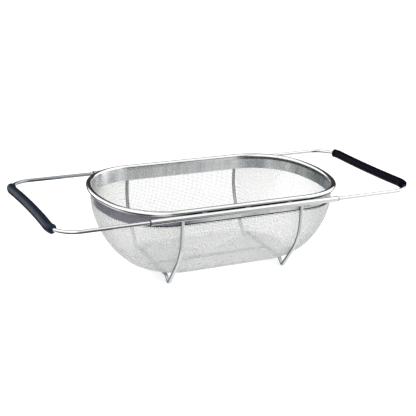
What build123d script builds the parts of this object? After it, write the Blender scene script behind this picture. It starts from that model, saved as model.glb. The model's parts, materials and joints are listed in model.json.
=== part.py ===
from build123d import *
from math import asin, atan2, cos, degrees, hypot, pi, radians, sin, sqrt
import os

# Over-the-sink strainer: a deep oval wire-mesh basket under a rolled steel rim.
#
# Two tubes lie under the rim's long sides and carry the telescoping ends of two U-shaped
# handles.  Two bent leg wires and one base wire make the stand under the basket.
#
# Millimetres.  +X to the right along the basket, +Y to the rear, +Z up.  The origin is on the
# surface the strainer stands on, under the middle of the basket.

# ---- Driving dimensions -------------------------------------------------------------------
# rim, seen from above: straight sides, corner arcs and flatter end arcs
rim_half_length = 175.0
rim_half_width = 106.9
rim_corner_radius = 82.0
rim_end_radius = 167.0
rim_top = 117.7
bead_radius = 3.6
sheet = 0.8  # thickness of the rim's steel strip
band_depth = 21.9  # from the top of the bead to the band's lower edge
curl_end_angle = -110  # where the rolled edge stops, seen from the bead's centre

# mesh basket
mesh_thickness = 0.6
mesh_gap = 0.05  # between the band and the mesh outside it
floor_half_length = 111.0
floor_half_width = 57.7
floor_corner_radius = 53.0
floor_height = 11.9
wall_exponent = 1.7  # 2 would be a quarter ellipse
wall_steps = 8

# tubes under the rim
tube_radius = 3.8
tube_bore = 3.05
tube_half_length = 136.4
tube_y = 108.0

# telescoping handles
rod_radius = 2.45
rod_inner_end = 76.5  # |x| of the rods' inner ends, with the handles half pulled out
bar_x = 257.8  # |x| of the middle of the handle's bar
bar_bow = 2.3  # the bar's middle lies this much nearer the basket than its ends
bar_slant = 1.9  # degrees; both handles are the same part, so one is turned half round
handle_corner_radius = 33.0
grip_radius = 6.3
grip_wrap = 24.0  # degrees of each corner that the grip covers
grip_edge = 1.0
stop_radius = 3.0
stop_length = 8.0
stop_chamfer = 0.3
bush_bore = 2.5
bush_length = 6.0
bush_flange_radius = 3.95
bush_flange = 0.9
bush_edge = 0.3

# stand, which sits a little to the left, with both leg wires slightly turned
stand_x = -1.9
leg_turn = 1.05  # degrees, clockwise from above
leg_x = 87.0
leg_radius = 2.5
leg_clearance = 0.15  # between the leg wire and the mesh
leg_top_z = 104.9
leg_knee_z = 56.5  # where the vertical run would meet the slope down to the foot
leg_sweep = 80.0  # radius of the long bend that follows the basket's wall
foot_y = 61.5
foot_bend = 3.4
step_y = 51.5  # where the foot's inner limb meets the cross wire
step_bend = 5.0
base_wire_radius = 2.0
base_wire_half_length = 91.0
base_wire_chamfer = 0.4

# welds
base_weld_radius = 1.5
base_weld_y = 1.9
leg_weld_radius = 1.9
leg_weld_length = 11.0
leg_weld_edge = 1.0
leg_weld_y = 104.6
leg_weld_z = 104.2
rim_weld_radius = 0.9
rim_weld_length = 7.0
rim_weld_pitch = 62.0

# ---- Sizes worked out from them -----------------------------------------------------------
bead_z = rim_top - bead_radius
band_low = rim_top - band_depth
band_inset = 2 * bead_radius  # from the bead's outside to the band's inner face
mesh_inset = band_inset - sheet - mesh_gap - mesh_thickness
mesh_top = bead_z - bead_radius / 3
tube_z = bead_z - sqrt((bead_radius + tube_radius) ** 2 - (tube_y - rim_half_width + bead_radius) ** 2)
leg_y = rim_half_width - mesh_inset + leg_radius + leg_clearance
cross_wire_z = floor_height - leg_radius - leg_clearance
base_wire_z = cross_wire_z - leg_radius - base_wire_radius


def rim_outline(inset):
    """Half length, half width, corner radius and end radius of the rim, moved in by inset."""
    return (
        rim_half_length - inset,
        rim_half_width - inset,
        rim_corner_radius - inset,
        rim_end_radius - inset,
    )


def oval(half_length, half_width, corner, end):
    """The oval's edges, joined without kinks: end arc, corner, straight side, corner, and so on."""
    turn = asin((half_width - corner) / (end - corner))
    end_x = half_length - end
    corner_x = end_x + (end - corner) * cos(turn)
    corner_y = half_width - corner
    tip = (end_x + end * cos(turn), end * sin(turn))
    near_tip = (end_x + end * cos(turn / 2), end * sin(turn / 2))
    bend = (turn + pi / 2) / 2
    mid = (corner_x + corner * cos(bend), corner_y + corner * sin(bend))
    ThreePointArc((half_length, 0), near_tip, tip)
    ThreePointArc(tip, mid, (corner_x, half_width))
    Line((corner_x, half_width), (-corner_x, half_width))
    ThreePointArc((-corner_x, half_width), (-mid[0], mid[1]), (-tip[0], tip[1]))
    ThreePointArc((-tip[0], tip[1]), (-half_length, 0), (-tip[0], -tip[1]))
    ThreePointArc((-tip[0], -tip[1]), (-mid[0], -mid[1]), (-corner_x, -half_width))
    Line((-corner_x, -half_width), (corner_x, -half_width))
    ThreePointArc((corner_x, -half_width), (mid[0], -mid[1]), (tip[0], -tip[1]))
    ThreePointArc((tip[0], -tip[1]), (near_tip[0], -near_tip[1]), (half_length, 0))


def wall(step, depth_in=0.0):
    """The basket wall at a step from 0, under the band, to 1, on the floor: oval sizes and height.

    depth_in moves the wall inwards, square to its own slope.
    """
    angle = step * pi / 2
    power = 2 / wall_exponent
    inward = 1 - cos(angle) ** power
    down = sin(angle) ** power
    top = rim_outline(mesh_inset)
    floor = (floor_half_length, floor_half_width, floor_corner_radius)
    sizes = [high - (high - low) * inward for high, low in zip(top, floor)]
    height = band_low - (band_low - floor_height) * down
    slope_out = cos(angle) ** (2 - power) / max(top[1] - floor[1], 1)
    slope_down = sin(angle) ** (2 - power) / (band_low - floor_height)
    length = hypot(slope_out, slope_down)
    sideways = depth_in * slope_out / length
    upwards = depth_in * slope_down / length
    sizes = [size - sideways for size in sizes]
    end = rim_end_radius - rim_half_length + sizes[0]
    return sizes + [end], height + upwards


os.makedirs("parts", exist_ok=True)


def save(part, name):
    part.label = name
    export_step(part, f"parts/{name}.step")


# ---- Mesh basket --------------------------------------------------------------------------
def basket_body(depth_in):
    """A closed body the shape of the basket, its wall moved in by depth_in, its top left long."""
    with BuildPart() as body:
        for number in range(wall_steps + 1):
            sizes, height = wall(number / wall_steps, depth_in)
            with BuildSketch(Plane.XY.offset(height)):
                with BuildLine():
                    oval(*sizes)
                make_face()
        loft()
        with BuildSketch(Plane.XY.offset(band_low)):
            with BuildLine():
                oval(*rim_outline(mesh_inset + depth_in))
            make_face()
        extrude(amount=mesh_top - band_low + depth_in)
    return body.part


with BuildPart() as mesh_bowl:
    add(basket_body(0.0))
    add(basket_body(mesh_thickness), mode=Mode.SUBTRACT)
save(mesh_bowl.part, "mesh_bowl")

# ---- Rim: an inner band whose top edge is rolled outwards over the mesh ---------------------
curl_turn = 180 - curl_end_angle
with BuildPart() as rim_band:
    with BuildLine(Plane.XY.offset(bead_z)) as rim_path:
        oval(*rim_outline(0))
    with BuildSketch(Plane.XZ):
        with BuildLine():
            centre = (rim_half_length - bead_radius, bead_z)
            inner_x = centre[0] - bead_radius
            outer_roll = CenterArc(centre, bead_radius, 180, -curl_turn)
            inner_roll = CenterArc(centre, bead_radius - sheet, curl_end_angle, curl_turn)
            Line(outer_roll @ 1, inner_roll @ 0)
            Polyline(inner_roll @ 1, (inner_x + sheet, band_low), (inner_x, band_low), outer_roll @ 0)
        make_face()
    sweep(path=rim_path.wires()[0])
save(rim_band.part, "rim_band")

# ---- Tubes under the rim --------------------------------------------------------------------
for side, name in ((-1, "front"), (1, "rear")):
    with BuildPart() as tube:
        with BuildSketch(Plane.YZ.offset(-tube_half_length)):
            with Locations((side * tube_y, tube_z)):
                Circle(tube_radius)
                Circle(tube_bore, mode=Mode.SUBTRACT)
        extrude(amount=2 * tube_half_length)
    save(tube.part, f"{name}_tube")

    for end, end_name in ((-1, "left"), (1, "right")):
        mouth = Plane((end * tube_half_length, side * tube_y, tube_z), z_dir=(end, 0, 0))
        with BuildPart() as bush:
            with BuildSketch(mouth.offset(-bush_length)):
                Circle(tube_bore)
            extrude(amount=bush_length)
            with BuildSketch(mouth):
                Circle(bush_flange_radius)
            extrude(amount=bush_flange)
            fillet(bush.edges().group_by(Axis.X)[-1 if end > 0 else 0], bush_edge)
            with BuildSketch(mouth.offset(-bush_length)):
                Circle(bush_bore)
            extrude(amount=bush_length + bush_flange, mode=Mode.SUBTRACT)
        save(bush.part, f"{name}_{end_name}_bush")

# Spot welds hold each tube in the groove below the bead.
groove_lean = atan2(tube_y - rim_half_width + bead_radius, bead_z - tube_z)
touch_y = rim_half_width - bead_radius + bead_radius * sin(groove_lean)
touch_z = bead_z - bead_radius * cos(groove_lean)
for side, name in ((-1, "front"), (1, "rear")):
    with BuildPart() as rim_welds:
        for x in (-rim_weld_pitch, 0, rim_weld_pitch):
            spot_y = side * (touch_y + rim_weld_radius * cos(groove_lean))
            spot_z = touch_z + rim_weld_radius * sin(groove_lean)
            with Locations((x, spot_y, spot_z)):
                Cylinder(rim_weld_radius, rim_weld_length, rotation=(0, 90, 0))
            with Locations((x, side * tube_y, tube_z)):
                Cylinder(tube_radius, rim_weld_length, rotation=(0, 90, 0), mode=Mode.SUBTRACT)
            with Locations((x, side * (rim_half_width - bead_radius), bead_z)):
                Cylinder(bead_radius, rim_weld_length, rotation=(0, 90, 0), mode=Mode.SUBTRACT)
    save(rim_welds.part, f"{name}_rim_welds")

# ---- Telescoping handles --------------------------------------------------------------------
# The bar bows towards the basket as a shallow arc, and each corner arc meets both the bar and
# the straight rod without a kink.
bar_half = tube_y - handle_corner_radius
bar_radius = (bar_half**2 + bar_bow**2) / (2 * bar_bow)
arc_gap = bar_radius + handle_corner_radius
lean = degrees(asin(bar_half / (arc_gap * cos(radians(bar_slant)))))
first_lean, last_lean = lean + bar_slant, lean - bar_slant
bar_centre_y = arc_gap * sin(radians(first_lean)) - bar_half
bar_centre_x = bar_x + sqrt(bar_radius**2 - bar_centre_y**2)
corner_x = bar_centre_x - arc_gap * cos(radians(first_lean))
for side, name in ((-1, "left"), (1, "right")):
    plan = Plane((0, 0, tube_z), x_dir=(side, 0, 0), z_dir=(0, 0, 1))
    with BuildPart() as rod:
        with BuildLine(plan):
            start = Line((rod_inner_end, -tube_y), (corner_x, -tube_y))
            first = JernArc(start @ 1, start % 1, handle_corner_radius, 90 + first_lean)
            bar = JernArc(first @ 1, first % 1, bar_radius, -first_lean - last_lean)
            last = JernArc(bar @ 1, bar % 1, handle_corner_radius, 90 + last_lean)
            Line(last @ 1, (rod_inner_end, tube_y))
        with BuildSketch(Plane(start @ 0, z_dir=(side, 0, 0))):
            Circle(rod_radius)
        sweep()
    save(rod.part, f"{name}_handle_rod")

    sleeve = Wire(
        [
            first.trim(1 - grip_wrap / (90 + first_lean), 1),
            bar.edge(),
            last.trim(0, grip_wrap / (90 + last_lean)),
        ]
    )
    with BuildPart() as grip:
        with BuildSketch(Plane(sleeve @ 0, z_dir=sleeve % 0)):
            Circle(grip_radius)
            Circle(rod_radius, mode=Mode.SUBTRACT)
        sweep(path=sleeve)
        ends = grip.faces().filter_by(GeomType.PLANE)
        fillet([end.outer_wire().edge() for end in ends], grip_edge)
    save(grip.part, f"{name}_grip")

    for edge, edge_name in ((-1, "front"), (1, "rear")):
        inner = Plane((side * rod_inner_end, edge * tube_y, tube_z), z_dir=(side, 0, 0))
        with BuildPart() as stop:
            with BuildSketch(inner):
                Circle(stop_radius)
            extrude(amount=stop_length)
            chamfer(stop.edges().filter_by(GeomType.CIRCLE), stop_chamfer)
            with BuildSketch(inner):
                Circle(rod_radius)
            extrude(amount=stop_length, mode=Mode.SUBTRACT)
        save(stop.part, f"{edge_name}_{name}_rod_stop")

# ---- Stand ----------------------------------------------------------------------------------
# The foot's bend cuts its corner off, so the corner is set lower until the wire touches z = 0.
foot_z = leg_radius
for _ in range(10):
    fall = atan2(leg_knee_z - foot_z, leg_y - foot_y)
    rise = atan2(cross_wire_z - foot_z, foot_y - step_y)
    foot_z = leg_radius + foot_bend * (1 - cos((fall - rise) / 2) / cos((fall + rise) / 2))

legs = []
for side, name in ((-1, "left"), (1, "right")):
    place = Location((stand_x + side * leg_x, 0, 0), (0, 0, -leg_turn))
    with BuildPart() as leg:
        with BuildLine(Plane.YZ) as leg_path:
            front = [
                (-leg_y, leg_top_z),
                (-leg_y, leg_knee_z),
                (-foot_y, foot_z),
                (-step_y, cross_wire_z),
            ]
            rear = [(-y, z) for y, z in reversed(front)]
            bends = [leg_sweep, foot_bend, step_bend]
            FilletPolyline(*front, *rear, radius=bends + bends[::-1])
        with BuildSketch(Plane(leg_path.wire() @ 0, z_dir=leg_path.wire() % 0)):
            Circle(leg_radius)
        sweep()
    legs.append(place * leg.part)
    save(legs[-1], f"{name}_leg_wire")

    # One bead beside each top end of the leg wire, in the corner under the tube.
    with BuildPart() as leg_welds:
        for edge in (-1, 1):
            top_x = stand_x + side * leg_x + edge * leg_y * sin(radians(leg_turn))
            bead_x = top_x + leg_weld_length / 2
            with BuildPart(Location((bead_x, edge * leg_weld_y, leg_weld_z))) as bead:
                Cylinder(leg_weld_radius, leg_weld_length, rotation=(0, 90, 0))
                fillet(bead.edges().sort_by(Axis.X)[-1], leg_weld_edge)
            with Locations((0, edge * tube_y, tube_z)):
                Cylinder(tube_radius, 2 * tube_half_length, rotation=(0, 90, 0), mode=Mode.SUBTRACT)
        add(legs[-1], mode=Mode.SUBTRACT)
    save(leg_welds.part, f"{name}_leg_welds")

with BuildPart() as base_wire:
    with BuildSketch(Plane.YZ.offset(stand_x - base_wire_half_length)):
        with Locations((0, base_wire_z)):
            Circle(base_wire_radius)
    extrude(amount=2 * base_wire_half_length)
    chamfer(base_wire.edges().filter_by(GeomType.CIRCLE), base_wire_chamfer)
save(base_wire.part, "base_wire")

with BuildPart() as base_welds:
    for side in (-1, 1):
        for across in (-1, 1):
            weld_place = (stand_x + side * leg_x, across * base_weld_y, base_wire_z + base_wire_radius)
            with Locations(weld_place):
                Sphere(base_weld_radius)
    add([*legs, base_wire.part], mode=Mode.SUBTRACT)
save(base_welds.part, "base_welds")
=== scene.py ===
"""Looks for the over-the-sink mesh strainer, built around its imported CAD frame."""

import json
import math

import bpy
import numpy as np
from mathutils import Matrix, Vector


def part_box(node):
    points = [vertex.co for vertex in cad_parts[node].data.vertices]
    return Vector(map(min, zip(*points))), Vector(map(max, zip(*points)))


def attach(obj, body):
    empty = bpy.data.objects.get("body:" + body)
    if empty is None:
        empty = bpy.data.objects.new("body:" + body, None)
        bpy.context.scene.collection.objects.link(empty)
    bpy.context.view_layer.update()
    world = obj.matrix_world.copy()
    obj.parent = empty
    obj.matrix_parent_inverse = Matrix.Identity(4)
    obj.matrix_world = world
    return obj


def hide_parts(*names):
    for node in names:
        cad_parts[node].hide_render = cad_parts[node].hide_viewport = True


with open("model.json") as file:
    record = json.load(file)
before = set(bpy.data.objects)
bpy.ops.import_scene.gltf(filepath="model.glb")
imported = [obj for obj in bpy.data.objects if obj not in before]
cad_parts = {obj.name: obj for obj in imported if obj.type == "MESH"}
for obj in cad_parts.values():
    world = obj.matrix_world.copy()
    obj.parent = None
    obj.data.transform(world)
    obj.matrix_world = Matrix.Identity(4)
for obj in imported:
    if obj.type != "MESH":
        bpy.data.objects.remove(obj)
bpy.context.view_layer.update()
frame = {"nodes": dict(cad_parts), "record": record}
scene = bpy.context.scene

MM = 0.001

# ---- Camera: the photograph's viewing angle --------------------------------------------------
CAMERA_AZIMUTH = -25.99  # degrees; 0 looks along +Y
CAMERA_ELEVATION = 19.29
CAMERA_ROLL = -1.97
CAMERA_DISTANCE = 1.3348
CAMERA_AIM = Vector((-0.0055, 0.0, 0.0764))
CAMERA_LENS = 82.45


def make_camera():
    azimuth = math.radians(CAMERA_AZIMUTH)
    elevation = math.radians(CAMERA_ELEVATION)
    back = Vector(
        (
            math.sin(azimuth) * math.cos(elevation),
            -math.cos(azimuth) * math.cos(elevation),
            math.sin(elevation),
        )
    )
    right = Vector((math.cos(azimuth), math.sin(azimuth), 0))
    up = back.cross(right)
    axes = Matrix((right, up, back)).transposed()
    turn = axes @ Matrix.Rotation(math.radians(-CAMERA_ROLL), 3, "Z")
    data = bpy.data.cameras.new("camera")
    data.lens = CAMERA_LENS
    data.sensor_width = 36.0
    data.clip_end = 20
    camera = bpy.data.objects.new("camera", data)
    camera.matrix_world = Matrix.Translation(CAMERA_AIM + back * CAMERA_DISTANCE) @ turn.to_4x4()
    scene.collection.objects.link(camera)
    scene.camera = camera


make_camera()

# ---- Sizes read from the frame -----------------------------------------------------------------
rim_low, rim_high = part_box("rim_band")
bowl_low, bowl_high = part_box("mesh_bowl")
bead_low = rim_high.z - 7.2 * MM  # the rolled bead is 7.2 mm high

# ---- Materials -------------------------------------------------------------------------------


class Graph:
    """A node tree under construction, with short ways to add and join nodes."""

    def __init__(self, tree):
        self.tree = tree

    def add(self, kind, inputs=None, **settings):
        node = self.tree.nodes.new("ShaderNode" + kind)
        for key, value in settings.items():
            setattr(node, key, value)
        for key, value in (inputs or {}).items():
            self.put(value, node.inputs[key])
        return node

    def put(self, value, socket):
        if isinstance(value, bpy.types.NodeSocket):
            self.tree.links.new(value, socket)
        else:
            socket.default_value = value

    def split(self, vector):
        """The vector's x, y and z."""
        return self.add("SeparateXYZ", {"Vector": vector}).outputs

    def math(self, operation, first, second):
        return self.add("Math", {0: first, 1: second}, operation=operation).outputs[0]

    def both(self, first, *rest):
        """The shares' product: 1 where all of them are 1."""
        for share in rest:
            first = self.math("MULTIPLY", first, share)
        return first

    def dot(self, first, second):
        node = self.add("VectorMath", {0: first, 1: second}, operation="DOT_PRODUCT")
        return node.outputs["Value"]

    def span(self, value, low, high, start=0.3, stop=0.7):
        """From low, where the value is start, to high, where it is stop."""
        inputs = {"Value": value, "From Min": start, "From Max": stop, "To Min": low, "To Max": high}
        return self.add("MapRange", inputs).outputs["Result"]

    def rise(self, value, start, stop):
        """0 below start, 1 above stop."""
        return self.span(value, 0.0, 1.0, start, stop)

    def fall(self, value, start, stop):
        """1 below start, 0 above stop."""
        return self.span(value, 1.0, 0.0, start, stop)

    def window(self, value, low, high, soft):
        """1 between low and high, falling to 0 over soft on either side."""
        return self.both(self.rise(value, low - soft, low), self.fall(value, high, high + soft))

    def mix(self, share, first, second):
        node = self.add("Mix", data_type="FLOAT")
        self.put(share, node.inputs[0])
        self.put(first, node.inputs[2])
        self.put(second, node.inputs[3])
        return node.outputs[0]

    def blend(self, share, first, second):
        """mix, for colours."""
        node = self.add("Mix", data_type="RGBA")
        self.put(share, node.inputs[0])
        self.put(first, node.inputs[6])
        self.put(second, node.inputs[7])
        return node.outputs[2]


class Nodes(Graph):
    """A material under construction."""

    def __init__(self, name):
        self.material = bpy.data.materials.new(name)
        self.material.use_nodes = True
        super().__init__(self.material.node_tree)
        self.shader = self.tree.nodes["Principled BSDF"]
        self.place = self.tree.nodes.new("ShaderNodeTexCoord").outputs["Object"]

    def surface(self, inputs):
        """Gives the shader's own inputs these values."""
        for name, value in inputs.items():
            self.put(value, self.shader.inputs[name])

    def facing(self):
        return self.add("NewGeometry").outputs["Normal"]

    def stretched(self, scale):
        return self.add("Mapping", {"Vector": self.place, "Scale": scale}).outputs[0]

    def noise(self, scale, size, detail=3.0, rough=0.5):
        inputs = {"Vector": self.stretched(scale), "Scale": size, "Detail": detail, "Roughness": rough}
        return self.add("TexNoise", inputs).outputs["Fac"]

    def bump(self, height, strength, distance):
        inputs = {"Height": height, "Strength": strength, "Distance": distance}
        self.surface({"Normal": self.add("Bump", inputs).outputs[0]})


EVEN = (1, 1, 1)


def polished_steel():
    """Bright drawn wire and tube: hazy in places, with faint draw lines, and painted shade darkening
    it at the rear left.
    """
    n = Nodes("polished_steel")
    x, y, _ = n.split(n.place)
    cloud = n.noise(EVEN, 55.0, 4.0)
    unshaded_tone = n.blend(cloud, (0.82, 0.84, 0.85, 1), (0.88, 0.88, 0.88, 1))
    # Painted shade: the rods at the rear left are coloured darker in place of the shade on them.
    rear_left_shade = n.both(n.fall(x, -140 * MM, -125 * MM), n.rise(y, 40 * MM, 90 * MM))
    colour = n.blend(rear_left_shade, unshaded_tone, (0.4, 0.43, 0.46, 1))
    n.surface({"Base Color": colour, "Metallic": 1.0, "Roughness": n.span(cloud, 0.07, 0.16)})
    n.bump(n.noise((0.06, 1, 1), 1500.0, 2.0), 0.05, 0.2 * MM)
    return n.material


def leg_steel():
    """The stand's wires: pale down the front but for one side darkened by painted shade, and painted
    shade underneath the basket.
    """
    n = Nodes("leg_steel")
    y = n.split(n.place)[1]
    front = n.fall(y, -62 * MM, -54 * MM)
    # Painted shade: the wires under the basket are coloured darker.
    under = n.window(y, -52 * MM, 46 * MM, 6 * MM)
    behind = n.blend(under, (0.6, 0.62, 0.65, 1), (0.22, 0.24, 0.26, 1))
    # Painted shade: the side of each wire that faces left and front is coloured dark.
    shaded_left_side = n.fall(n.dot((0.9, -0.44, 0.0), n.facing()), -0.7, -0.4)
    pale = n.blend(shaded_left_side, (0.66, 0.69, 0.7, 1), (0.1, 0.11, 0.12, 1))
    n.surface(
        {
            "Base Color": n.blend(front, behind, pale),
            "Metallic": n.mix(front, 1.0, 0.4),
            "Roughness": n.span(n.noise(EVEN, 55.0, 4.0), 0.1, 0.2),
        }
    )
    n.bump(n.noise((1, 1, 0.06), 1500.0, 2.0), 0.05, 0.2 * MM)
    return n.material


def painted_shade_corner(n):
    """1 on the front left of the band, where painted shade darkens it and the cloth over it; 0
    elsewhere.
    """
    x, y, z = n.split(n.place)
    return n.both(
        n.fall(x, -85 * MM, -45 * MM),
        n.fall(y, 0.0, 25 * MM),
        n.rise(z, rim_low.z - 1.5 * MM, rim_low.z + 1 * MM),
    )


def along_front(n):
    """1 along the front, where a painted shadow line runs along the band's lower edge; 0 elsewhere."""
    return n.fall(n.split(n.place)[1], -90 * MM, -75 * MM)


def band_steel():
    """The rim: a mirror-like bead over a streaked band, with painted shade lines under the bead
    and along the band's lower edge."""
    n = Nodes("band_steel")
    x, y, z = n.split(n.place)
    # Above 0 where the surface looks away from the basket's middle.
    outward = n.dot(n.stretched((0.37, 1, 0)), n.facing())
    outside = n.rise(outward, 0.0, 5 * MM)
    inside = n.fall(outward, -5 * MM, 0.0)

    streaks = n.noise((1, 1, 0.04), 60.0, 5.0, 0.6)
    colour = n.blend(n.rise(streaks, 0.35, 0.65), (0.74, 0.77, 0.8, 1), (0.97, 0.97, 0.97, 1))
    # Painted reflection: large random dark patches stand in for the dark room mirrored in the polished
    # band.
    dark_reflection_patches = n.rise(n.noise((1, 1, 0.2), 17.0, 2.0, 0.4), 0.52, 0.66)
    colour = n.blend(dark_reflection_patches, colour, (0.3, 0.33, 0.38, 1))
    # Painted shade on the front left of the band.
    colour = n.blend(painted_shade_corner(n), colour, (0.16, 0.16, 0.2, 1))
    # Painted shadow: a thin dark line along the band's lower edge at the front.
    edge_shadow_height = n.fall(z, rim_low.z + 1.4 * MM, rim_low.z + 1.8 * MM)
    lower_edge_shadow = n.both(edge_shadow_height, along_front(n), outside)
    colour = n.blend(lower_edge_shadow, colour, (0.02, 0.022, 0.025, 1))

    on_bead = n.rise(z, bead_low, bead_low + 1.5 * MM)
    colour = n.blend(on_bead, colour, (0.9, 0.9, 0.9, 1))
    # Painted shade: the groove under the bead is coloured near black along the front and inside the
    # right end.
    front = n.both(n.fall(y, -95 * MM, -80 * MM), n.rise(x, -110 * MM, -85 * MM))
    right_end = n.both(inside, n.span(x, 0.0, 0.8, 80 * MM, 105 * MM))
    under_bead = n.window(z, bead_low, bead_low + 3.4 * MM, 0.5 * MM)
    groove_shade = n.both(under_bead, n.math("MAXIMUM", front, right_end))
    colour = n.blend(groove_shade, colour, (0.03, 0.03, 0.035, 1))

    behind_cloth = n.both(n.fall(z, bead_low - 2 * MM, bead_low), outside)
    n.surface(
        {
            "Base Color": colour,
            "Metallic": n.mix(behind_cloth, 1.0, 0.4),
            "Roughness": n.mix(on_bead, n.span(streaks, 0.16, 0.3), 0.07),
        }
    )
    n.bump(n.noise((1, 1, 0.02), 700.0, 3.0), 0.06, 0.3 * MM)
    return n.material


def wire_steel():
    """The cloth's fine wires: bright, with painted shade greying the rear wall and the front left and
    drawing a dark line along the band's lower edge; paler at the ends and on the band.
    """
    n = Nodes("mesh_wire")
    x, y, z = n.split(n.place)
    cloud = n.noise(EVEN, 30.0, 4.0)
    colour = n.blend(cloud, (0.84, 0.86, 0.86, 1), (0.94, 0.94, 0.93, 1))
    # Painted shade: the wires up the rear wall are coloured greyer.
    colour = n.blend(n.rise(y, 55 * MM, 80 * MM), colour, (0.6, 0.62, 0.6, 1))
    # Painted shade on the front left, as on the band.
    colour = n.blend(painted_shade_corner(n), colour, (0.45, 0.44, 0.5, 1))
    # Painted shadow: a thin dark line along the band's lower edge at the front.
    front = along_front(n)
    edge_shadow_height = n.window(z, rim_low.z - 1.5 * MM, rim_low.z + 1.5 * MM, 0.4 * MM)
    colour = n.blend(n.both(edge_shadow_height, front), colour, (0.04, 0.05, 0.06, 1))
    ends = n.rise(n.math("ABSOLUTE", x, 0.0), 115 * MM, 150 * MM)
    on_band = n.both(n.rise(z, rim_low.z, rim_low.z + 1 * MM), front)
    n.surface(
        {
            "Base Color": colour,
            "Metallic": n.mix(n.math("MAXIMUM", ends, on_band), 0.6, 0.3),
            "Roughness": n.span(cloud, 0.22, 0.36),
        }
    )
    return n.material


def grip_rubber():
    """Soft black sleeve with fine pores and worn, smoother patches; the left one carries a painted
    highlight, bluer and shinier.
    """
    n = Nodes("grip_rubber")
    patches = n.noise(EVEN, 45.0, 4.0)
    # Painted highlight: the left grip is coloured bluer and made shinier in place of its bluish
    # highlight.
    left = n.fall(n.split(n.place)[0], -100 * MM, 100 * MM)
    colour = n.blend(patches, (0.0015, 0.0015, 0.004, 1), (0.004, 0.004, 0.012, 1))
    n.surface(
        {
            "Base Color": n.blend(left, colour, (0.006, 0.011, 0.026, 1)),
            "Roughness": n.span(patches, 0.3, 0.42),
            "Specular IOR Level": n.mix(left, 0.04, 0.22),
            "Specular Tint": (0.72, 0.8, 1, 1),
        }
    )
    n.bump(n.noise(EVEN, 2600.0, 2.0), 0.35, 0.4 * MM)
    return n.material


def bush_plastic():
    """Black moulded nylon."""
    n = Nodes("bush_plastic")
    specks = n.noise(EVEN, 900.0, 2.0)
    colour = n.blend(specks, (0.02, 0.02, 0.022, 1), (0.045, 0.045, 0.05, 1))
    n.surface({"Base Color": colour, "Roughness": n.span(specks, 0.35, 0.5)})
    n.bump(specks, 0.15, 0.2 * MM)
    return n.material


def weld_steel():
    """Small weld beads: rougher, with straw and blue heat tint."""
    n = Nodes("weld_steel")
    tint = n.noise(EVEN, 400.0, 3.0)
    colour = n.blend(tint, (0.3, 0.28, 0.25, 1), (0.42, 0.44, 0.5, 1))
    n.surface({"Base Color": colour, "Metallic": 1.0, "Roughness": n.span(tint, 0.2, 0.4)})
    n.bump(tint, 0.4, 0.4 * MM)
    return n.material


def use_material(piece, material):
    piece.data.materials.clear()
    piece.data.materials.append(material)


def finish_cad_nodes():
    """Gives each CAD node its slot's material, but for the welds and the stand."""
    by_slot = {
        "polished_steel": polished_steel(),
        "band_steel": band_steel(),
        "grip_rubber": grip_rubber(),
        "bush_plastic": bush_plastic(),
    }
    by_ending = {"_welds": weld_steel(), "leg_wire": leg_steel()}
    by_ending["base_wire"] = by_ending["leg_wire"]
    slots = {entry["node"]: entry["material_slot"] for entry in frame["record"]["subparts"]}
    for name, node in frame["nodes"].items():
        special = [material for ending, material in by_ending.items() if name.endswith(ending)]
        if special:
            use_material(node, special[0])
        elif slots[name] in by_slot:
            use_material(node, by_slot[slots[name]])
        for face in node.data.polygons:
            face.use_smooth = True


finish_cad_nodes()

# ---- Woven wire cloth ----------------------------------------------------------------------------
# The cloth is laid out flat on a square grid of wires and pressed into the basket's shape, so
# that each wire runs up one wall, across the floor and up the wall opposite.
PITCH = 2.1 * MM
WIRE = 0.5 * MM  # wire diameter
WIRE_SIDES = 3
WALL_EXPONENT = 1.7  # 2 would make the wall a quarter ellipse
FLOOR = np.array((111.0, 57.7, 53.0)) * MM  # half length, half width, corner radius of the floor
RIM_CORNER = 76.25 * MM  # radii of the mesh's outline at the band
RIM_END = 161.25 * MM
TOP_GAP = 0.3 * MM  # the wires stop this far short of the mesh bowl's top
FEWEST_POINTS = 4  # shorter wires are left out


def tangent_oval(half_length, half_width, corner, end):
    """Centres and joints of the arcs that make an oval: see radial_reach."""
    turn = np.arcsin((half_width - corner) / (end - corner))
    end_x = half_length - end
    corner_x = end_x + (end - corner) * np.cos(turn)
    corner_y = half_width - corner
    return turn, end_x, corner_x, corner_y


def radial_reach(direction, half_length, half_width, corner, end):
    """How far the oval reaches from its middle along each direction, an angle up to a quarter turn."""
    turn, end_x, corner_x, corner_y = tangent_oval(half_length, half_width, corner, end)
    dx, dy = np.cos(direction), np.sin(direction)

    def circle(cx, cy, radius):
        along = cx * dx + cy * dy
        return along + np.sqrt(np.maximum(radius**2 - cx**2 - cy**2 + along**2, 0))

    tip = np.arctan2(end * np.sin(turn), end_x + end * np.cos(turn))
    side = np.arctan2(half_width, corner_x)
    straight = half_width / np.maximum(dy, 1e-9)
    at_end = circle(end_x, 0 * end_x, end)
    at_corner = circle(corner_x, corner_y, corner)
    return np.where(direction <= tip, at_end, np.where(direction >= side, straight, at_corner))


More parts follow.
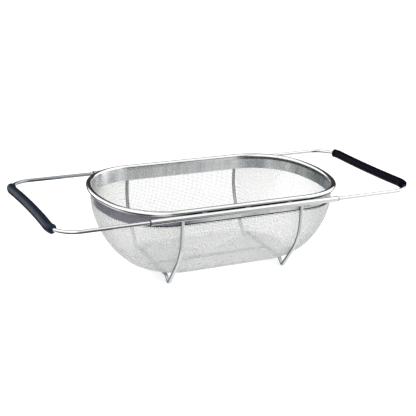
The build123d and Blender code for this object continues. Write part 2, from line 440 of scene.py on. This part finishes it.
class Basket:
    """The mesh basket's shape, from the frame's sizes."""

    def __init__(self):
        self.top = bowl_high.z
        self.band = rim_low.z
        self.floor = bowl_low.z
        self.half = np.array((bowl_high.x, bowl_high.y))
        steps = np.linspace(0, 1, 400)
        width, height = self.profile(steps)
        lengths = np.hypot(np.diff(width), np.diff(height))
        self.steps = steps[::-1]
        self.run = np.concatenate(((0,), np.cumsum(lengths[::-1])))
        self.wall_run = self.run[-1]
        self.full_run = self.wall_run + self.top - self.band

    def inward(self, step):
        """How far in, from 0 at the band to 1 at the floor, the wall is at a step."""
        return 1 - np.cos(step * np.pi / 2) ** (2 / WALL_EXPONENT)

    def profile(self, step):
        width = self.half[1] - (self.half[1] - FLOOR[1]) * self.inward(step)
        down = np.sin(step * np.pi / 2) ** (2 / WALL_EXPONENT)
        return width, self.band - (self.band - self.floor) * down

    def outline(self, step):
        share = self.inward(step)
        half_length = self.half[0] - (self.half[0] - FLOOR[0]) * share
        half_width = self.half[1] - (self.half[1] - FLOOR[1]) * share
        corner = RIM_CORNER - (RIM_CORNER - FLOOR[2]) * share
        return half_length, half_width, corner, RIM_END - self.half[0] + half_length

    def press(self, u, v):
        """Flat cloth (u, v) to its place on the basket, and how far up the wall it reaches."""
        inset = self.half[1] - FLOOR[1]
        turn, end_x, corner_x, corner_y = tangent_oval(*self.half, RIM_CORNER, RIM_END)
        across, along = np.abs(u), np.abs(v)
        side = along - (self.half[1] - inset)
        corner_angle = np.arctan2(along - corner_y, across - corner_x)
        end_angle = np.arctan2(along, across - end_x)
        corner_out = np.hypot(across - corner_x, along - corner_y) - (RIM_CORNER - inset)
        end_out = np.hypot(across - end_x, along) - (RIM_END - inset)
        in_side = across <= corner_x
        in_end = (end_angle <= turn) & ~in_side
        out = np.where(in_side, side, np.where(in_end, end_out, corner_out))
        up = np.maximum(out, 0)
        shrink = up - self.drawn_in(up)
        angle = np.where(in_end, end_angle, corner_angle)
        px = across - shrink * np.where(in_side, 0.0, np.cos(angle))
        py = along - shrink * np.where(in_side, 1.0, np.sin(angle))
        step = np.interp(up, self.run, self.steps)
        share = self.inward(step)
        inset_now = inset * share
        direction = np.arctan2(py, px)
        even = radial_reach(
            direction,
            self.half[0] - inset_now,
            self.half[1] - inset_now,
            RIM_CORNER - inset_now,
            RIM_END - inset_now,
        )
        real = radial_reach(direction, *self.outline(step))
        scale = real / even
        height = np.where(up > self.wall_run, self.band + up - self.wall_run, self.profile(step)[1])
        place = np.stack((np.sign(u) * px * scale, np.sign(v) * py * scale, height), axis=-1)
        return place, up

    def drawn_in(self, up):
        """Distance outwards in plan of a point that lies up the wall by that run."""
        step = np.interp(up, self.run, self.steps)
        return (self.half[1] - FLOOR[1]) * (1 - self.inward(step))


def weave():
    """The cloth's crossings: places, normals and which of them lie on the basket."""
    basket = Basket()
    reach_u = basket.half[0] + basket.full_run
    reach_v = basket.half[1] + basket.full_run
    count_u = int(reach_u / PITCH)
    count_v = int(reach_v / PITCH)
    u = (np.arange(-count_u, count_u + 1) + 0.5) * PITCH
    v = (np.arange(-count_v, count_v + 1) + 0.5) * PITCH
    grid_u, grid_v = np.meshgrid(u, v, indexing="ij")
    place, up = basket.press(grid_u, grid_v)
    along_u = np.gradient(place, axis=0)
    along_v = np.gradient(place, axis=1)
    normal = np.cross(along_u, along_v)
    normal /= np.maximum(np.linalg.norm(normal, axis=-1, keepdims=True), 1e-12)
    return place + normal * WIRE, normal, up <= basket.full_run - TOP_GAP


def wires(grids, rows, lift):
    """The wires in these rows: their points, pushed over and under the wires that they cross."""
    place, normal, there = grids
    for row in rows:
        columns = np.nonzero(there[row])[0]
        if len(columns) < FEWEST_POINTS:
            continue
        sign = np.where((columns + row) % 2 == 0, lift, -lift)[:, None]
        yield place[row, columns] + normal[row, columns] * sign * WIRE / 2, normal[row, columns]


def tubes(name, rows):
    """One object made of thin tubes, one along each row of points."""
    vertices, faces, first = [], [], 0
    angles = np.linspace(0, 2 * np.pi, WIRE_SIDES, endpoint=False)
    here = np.arange(WIRE_SIDES)[None, :]
    after = (here + 1) % WIRE_SIDES
    for points, normals in rows:
        along = np.gradient(points, axis=0)
        side = np.cross(along, normals)
        side /= np.maximum(np.linalg.norm(side, axis=1, keepdims=True), 1e-12)
        ring = [points + WIRE / 2 * (np.cos(a) * normals + np.sin(a) * side) for a in angles]
        vertices.append(np.stack(ring, axis=1).reshape(-1, 3))
        start = first + np.arange(len(points) - 1)[:, None] * WIRE_SIDES
        following = start + WIRE_SIDES
        quads = np.stack((start + here, following + here, following + after, start + after), -1)
        faces.append(quads.reshape(-1, 4))
        first += len(points) * WIRE_SIDES
    mesh = bpy.data.meshes.new(name)
    points, quads = np.concatenate(vertices), np.concatenate(faces)
    mesh.vertices.add(len(points))
    mesh.vertices.foreach_set("co", points.astype(np.float32).ravel())
    mesh.loops.add(quads.size)
    mesh.loops.foreach_set("vertex_index", quads.astype(np.int32).ravel())
    mesh.polygons.add(len(quads))
    mesh.polygons.foreach_set("loop_start", np.arange(0, quads.size, 4, dtype=np.int32))
    mesh.polygons.foreach_set("loop_total", np.full(len(quads), 4, dtype=np.int32))
    mesh.polygons.foreach_set("use_smooth", np.ones(len(quads), dtype=bool))
    mesh.update()
    mesh.validate()
    piece = bpy.data.objects.new(name, mesh)
    scene.collection.objects.link(piece)
    return piece


def make_cloth():
    """The woven wires in four pieces: those of each direction, half and half."""
    wefts = weave()
    warps = [np.swapaxes(grid, 0, 1) for grid in wefts]
    wire = wire_steel()
    for grids, halves, lift in (
        (wefts, ("mesh_weft_left", "mesh_weft_right"), 1),
        (warps, ("mesh_warp_front", "mesh_warp_rear"), -1),
    ):
        count = len(grids[0])
        for name, rows in zip(halves, (range(count // 2), range(count // 2, count))):
            piece = tubes(name, wires(grids, rows, lift))
            use_material(piece, wire)
            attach(piece, "basket")
            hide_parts("mesh_bowl")


make_cloth()

# ---- Floor and light ---------------------------------------------------------------------------


def stage_plane(n, size, height, base, glow):
    """A flat square that isn't part of the object, named after its material."""
    white = (1, 1, 1, 1)
    n.surface({"Base Color": base, "Emission Color": white, "Emission Strength": glow})
    bpy.ops.mesh.primitive_plane_add(size=size, location=(0, 0, height))
    plane = bpy.context.object
    plane.name = n.material.name
    use_material(plane, n.material)
    return plane


def make_floor():
    """A white floor that glows a little, so that its shadow is light, and a sheet under the basket
    that only reflections see."""
    n = Nodes("floor")
    base = n.blend(n.noise(EVEN, 3.0, 2.0), (0.92, 0.92, 0.915, 1), (0.94, 0.94, 0.935, 1))
    n.surface({"Roughness": 0.7})
    floor = stage_plane(n, 12, -0.4 * MM, base, 0.36)
    floor.visible_glossy = False
    paper = stage_plane(Nodes("paper"), 0.3, -0.2 * MM, (0, 0, 0, 1), 0.7)
    paper.visible_camera = paper.visible_diffuse = paper.visible_shadow = False


def area_light(name, place, size, power):
    """A soft light aimed at the basket."""
    aim = Vector((0, 0, 0.05))
    data = bpy.data.lights.new(name, "AREA")
    data.shape = "RECTANGLE"
    data.size, data.size_y = size
    data.energy = power
    light = bpy.data.objects.new(name, data)
    light.location = place
    light.rotation_euler = (aim - Vector(place)).to_track_quat("-Z", "Y").to_euler()
    scene.collection.objects.link(light)


# Brightness that polished metal sees by direction: degrees from the front (-Y) towards +X,
# with how bright the room is there a little below eye level and a little above it.
AROUND = (
    (-180, 0.05, 0.05),
    (-160, 0.05, 1.2),
    (-139, 0.1, 1.2),
    (-110, 0.25, 1.2),
    (-78, 0.12, 1.2),
    (-40, 0.1, 1.2),
    (-26, 0.35, 1.2),
    (-8, 0.25, 0.9),
    (4, 0.2, 0.05),
    (21, 0.2, 0.05),
    (27, 0.6, 0.3),
    (34, 0.85, 1.0),
    (62, 0.55, 1.0),
    (78, 1.3, 1.2),
    (120, 1.3, 1.2),
    (139, 0.1, 0.05),
    (180, 0.05, 0.05),
)
LOW, HIGH = 1, 2  # columns of AROUND
SKY = 1.1  # brightness overhead
ZENITH = 0.25  # and straight overhead
GROUND = 0.85  # and well below eye level
GROUND_FRONT = 0.03  # but for the front left
BACK_WALL = 0.04  # a dark panel at the rear right
BACK_LAMP = 1.6  # a small lamp at the rear left


def around_ramp(g, turn, column):
    """Brightness around the room at one height."""
    ramp = g.add("ValToRGB", {"Fac": g.rise(turn, -math.pi, math.pi)})
    stops = ramp.color_ramp.elements
    while len(stops) < len(AROUND):
        stops.new(1.0)
    for stop, row in zip(stops, AROUND):
        stop.position = (row[0] + 180) / 360
        stop.color = (row[column], row[column], row[column], 1)
    return ramp.outputs["Color"]


def studio_world():
    """White behind the object; what its metal reflects is a bright room with dark walls."""
    world = bpy.data.worlds.new("studio")
    world.use_nodes = True
    g = Graph(world.node_tree)
    x, y, z = g.split(g.add("TexCoord").outputs["Generated"])
    turn = g.math("ARCTAN2", x, g.math("MULTIPLY", y, -1.0))
    beyond = 2.0  # past any direction's x or y, so that a window has no edge there
    front_left = g.both(g.window(x, -beyond, 0.42, 0.1), g.window(y, -beyond, 0.1, 0.3))
    light = g.mix(front_left, GROUND, GROUND_FRONT)
    light = g.mix(g.rise(z, -0.55, -0.42), light, around_ramp(g, turn, LOW))
    light = g.mix(g.rise(z, -0.15, 0.0), light, around_ramp(g, turn, HIGH))
    light = g.mix(g.rise(z, 0.36, 0.5), light, SKY)
    light = g.mix(g.rise(z, 0.93, 0.97), light, ZENITH)
    back_wall = g.both(
        g.window(z, -0.4, 0.68, 0.08), g.window(y, 0.5, beyond, 0.12), g.window(x, -0.05, beyond, 0.2)
    )
    light = g.mix(back_wall, light, BACK_WALL)
    back_lamp = g.both(
        g.window(x, -0.6, -0.3, 0.12), g.window(z, -0.12, 0.2, 0.08), g.window(y, 0.7, beyond, 0.1)
    )
    light = g.mix(back_lamp, light, BACK_LAMP)
    reflected = g.add("LightPath").outputs["Is Glossy Ray"]
    g.put(g.mix(reflected, 1.0, light), g.tree.nodes["Background"].inputs["Color"])
    scene.world = world


def make_light():
    scene.view_settings.view_transform = "Standard"
    scene.cycles.denoising_prefilter = "NONE"  # keeps the cloth's fine weave
    studio_world()
    area_light("key", (-0.8, -0.9, 1.8), (1.4, 1.0), 4.5)
    area_light("fill", (1.4, -0.6, 1.2), (1.2, 1.2), 2.5)


make_floor()
make_light()
